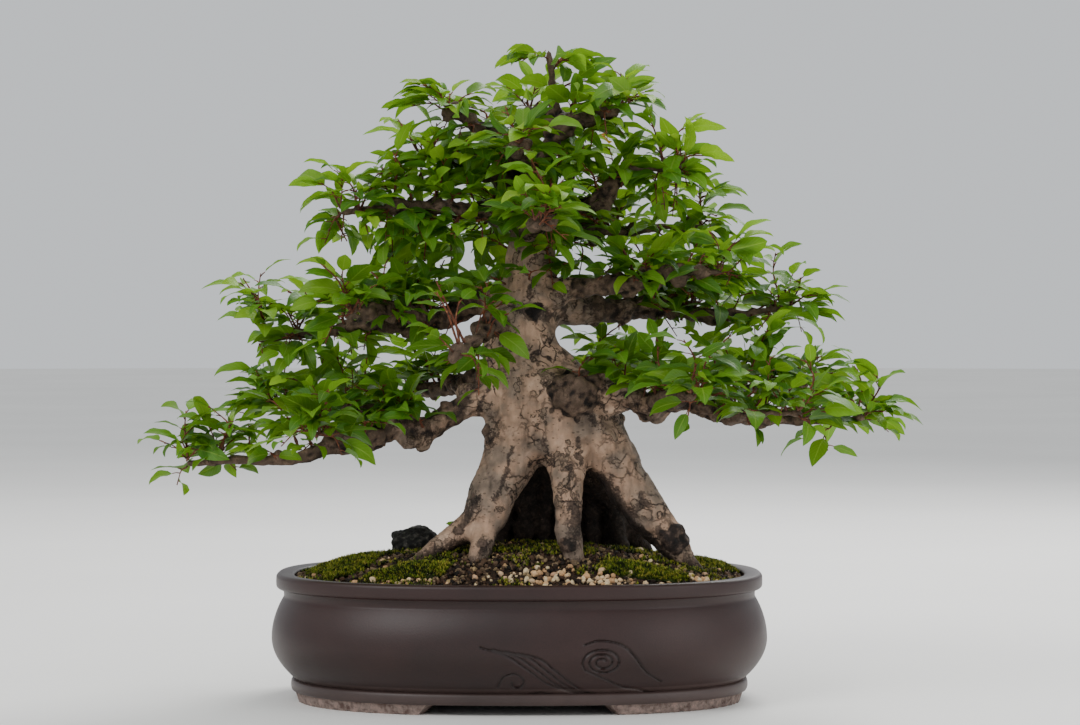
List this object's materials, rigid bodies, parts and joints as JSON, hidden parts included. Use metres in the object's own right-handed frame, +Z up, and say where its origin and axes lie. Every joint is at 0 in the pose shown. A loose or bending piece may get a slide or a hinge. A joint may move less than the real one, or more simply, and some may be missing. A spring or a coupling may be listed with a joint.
{
  "type": "bonsai tree in a pot",
  "caption": "Broadleaf bonsai with arched exposed roots and tiered foliage, growing in soil in a shallow oval stoneware pot on low feet.",
  "frame": {"origin": "on the surface that the pot stands on, under the middle of the whole tree's bounding box", "axes": "+Z up the trunk, +X along the pot's long side to the viewer's right, +Y away from the tree's front"},
  "size_m": [0.63, 0.3796, 0.5384],
  "materials": {
    "stoneware": "satin, unglazed dark brown",
    "drain_mesh": "matte black",
    "clip_wire": "copper-brown anodised wire",
    "drainage_gravel": "coarse pumice gravel",
    "soil": "granular bonsai soil",
    "rock": "dark weathered stone",
    "moss": "moss tufts",
    "bark": "tan and grey bark",
    "leaves": "green leaves, slightly glossy"
  },
  "bodies": {
    "root": {"pot": "stoneware", "drain_mesh_left": "drain_mesh", "drain_mesh_right": "drain_mesh", "drain_clip_left": "clip_wire", "drain_clip_right": "clip_wire", "drainage_layer": "drainage_gravel", "soil": "soil", "rock": "rock", "wood": "bark", "moss_left": "moss", "moss_front_left": "moss", "moss_front_right": "moss", "moss_right": "moss", "moss_back": "moss", "foliage_low_left_1": "leaves", "foliage_low_left_2": "leaves", "foliage_low_left_3": "leaves", "foliage_low_left_4": "leaves", "foliage_low_left_5": "leaves", "foliage_low_left_6": "leaves", "foliage_low_back_1": "leaves", "foliage_low_back_2": "leaves", "foliage_low_back_3": "leaves", "foliage_low_back_4": "leaves", "foliage_low_right_1": "leaves", "foliage_low_right_2": "leaves", "foliage_low_right_3": "leaves", "foliage_low_right_4": "leaves", "foliage_low_right_5": "leaves", "foliage_low_right_6": "leaves", "foliage_low_right_7": "leaves", "foliage_middle_left_1": "leaves", "foliage_middle_left_2": "leaves", "foliage_middle_left_3": "leaves", "foliage_middle_left_4": "leaves", "foliage_middle_left_5": "leaves", "foliage_middle_front_1": "leaves", "foliage_middle_front_2": "leaves", "foliage_middle_back_1": "leaves", "foliage_middle_back_2": "leaves", "foliage_middle_right_1": "leaves", "foliage_middle_right_2": "leaves", "foliage_middle_right_3": "leaves", "foliage_middle_right_4": "leaves", "foliage_middle_right_5": "leaves", "foliage_upper_left_1": "leaves", "foliage_upper_left_2": "leaves", "foliage_upper_left_3": "leaves", "foliage_upper_right_1": "leaves", "foliage_upper_right_2": "leaves", "foliage_upper_right_3": "leaves", "foliage_upper_front_1": "leaves", "foliage_upper_front_2": "leaves", "foliage_upper_back_1": "leaves", "foliage_crown_1": "leaves", "foliage_crown_2": "leaves", "foliage_crown_3": "leaves", "foliage_crown_4": "leaves", "foliage_crown_5": "leaves"}
  },
  "joints": []
}
